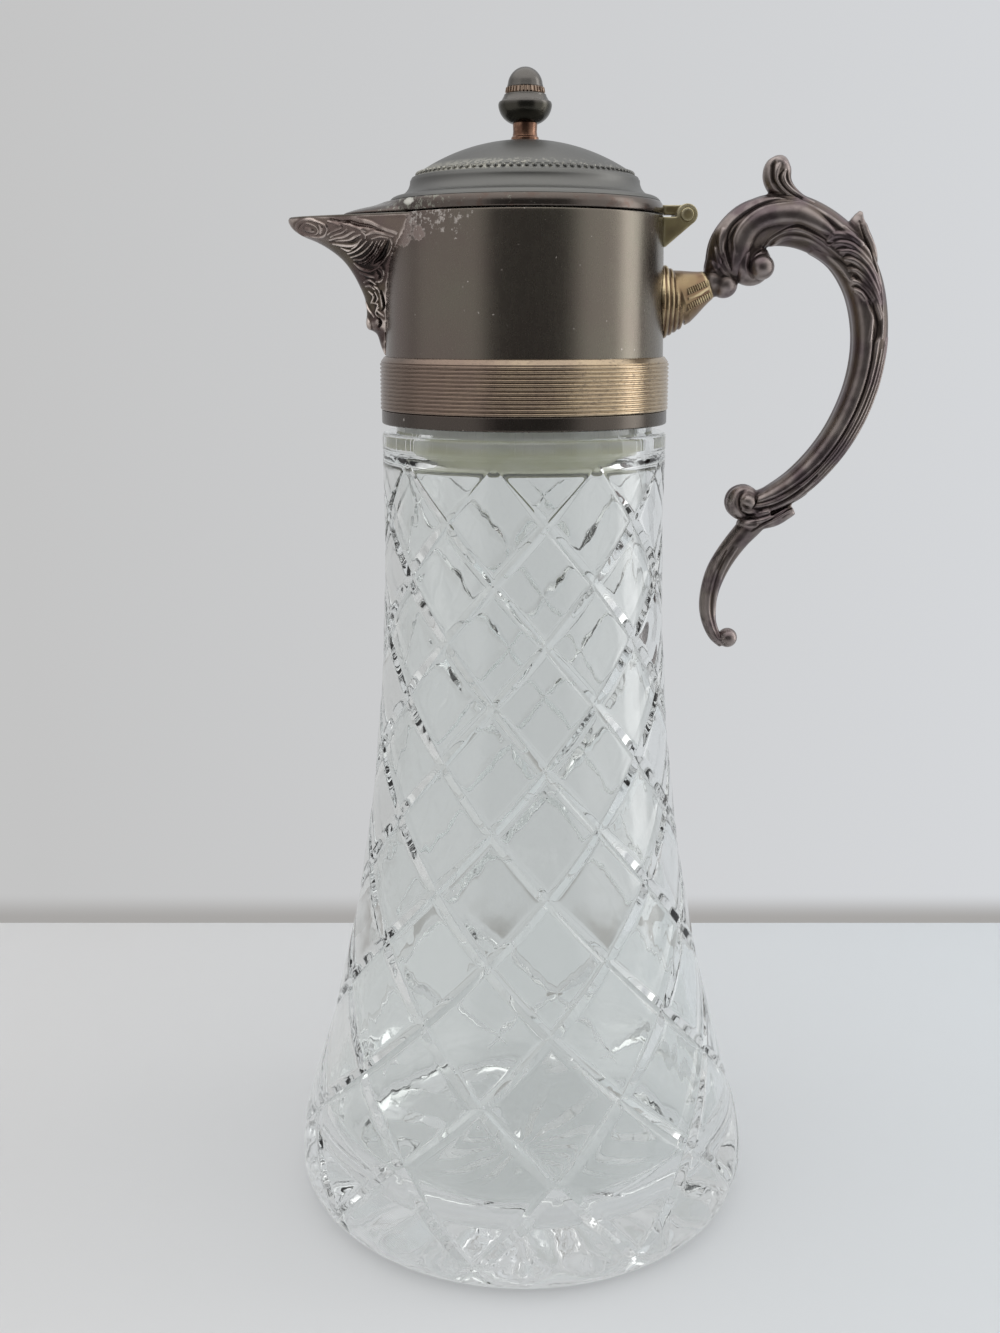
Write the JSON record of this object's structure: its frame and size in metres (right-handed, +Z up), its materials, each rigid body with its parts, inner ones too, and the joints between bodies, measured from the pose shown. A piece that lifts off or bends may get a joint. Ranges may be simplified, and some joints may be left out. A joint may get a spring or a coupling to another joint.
{
  "type": "claret jug",
  "caption": "Tall flared cut-glass serving jug with a plated metal collar, open pouring spout, hinged domed lid with acorn finial, and a cast scroll handle.",
  "frame": {"origin": "centre of the foot, on the surface that the jug stands on", "axes": "+Z up along the jug, spout towards -X, handle towards +X, hinge pin along Y"},
  "size_m": [0.1559, 0.1258, 0.3006],
  "materials": {
    "clear_glass": "pressed and fire-polished, with V cuts",
    "seal_plastic": "yellowed, translucent",
    "tarnished_plate": "tarnished silver plate, satin, pewter brown",
    "grey_plate": "tarnished silver plate, satin, grey-green",
    "antique_casting": "cast and silver plated, purplish-brown tarnish with rubbed high places",
    "worn_brass": "brass with the plate worn off, satin",
    "green_brass": "brass with green tarnish",
    "copper": "copper, satin, brown tarnish",
    "plain_brass": "turned brass"
  },
  "bodies": {
    "jug": {"glass_body": "clear_glass", "neck_gasket": "seal_plastic", "collar_shell": "tarnished_plate", "reeded_band": "worn_brass", "spout": "antique_casting", "hinge_collar_leaf": "green_brass", "hinge_pin": "green_brass", "handle_boss": "worn_brass", "handle_screw": "plain_brass", "handle_washer": "plain_brass", "handle": "antique_casting"},
    "lid": {"hinge_lid_leaf": "green_brass", "lid_rim": "tarnished_plate", "lid_dome": "grey_plate", "finial_stem": "copper", "finial_knob": "grey_plate", "finial_stud": "plain_brass", "finial_washer": "plain_brass", "finial_nut": "plain_brass"}
  },
  "joints": [
    {"name": "lid_hinge", "type": "hinge", "parent": "jug", "child": "lid", "pos_m": [0.04, 0, 0.2655], "axis": [0, 1, 0], "range_deg": [0, 100]}
  ]
}
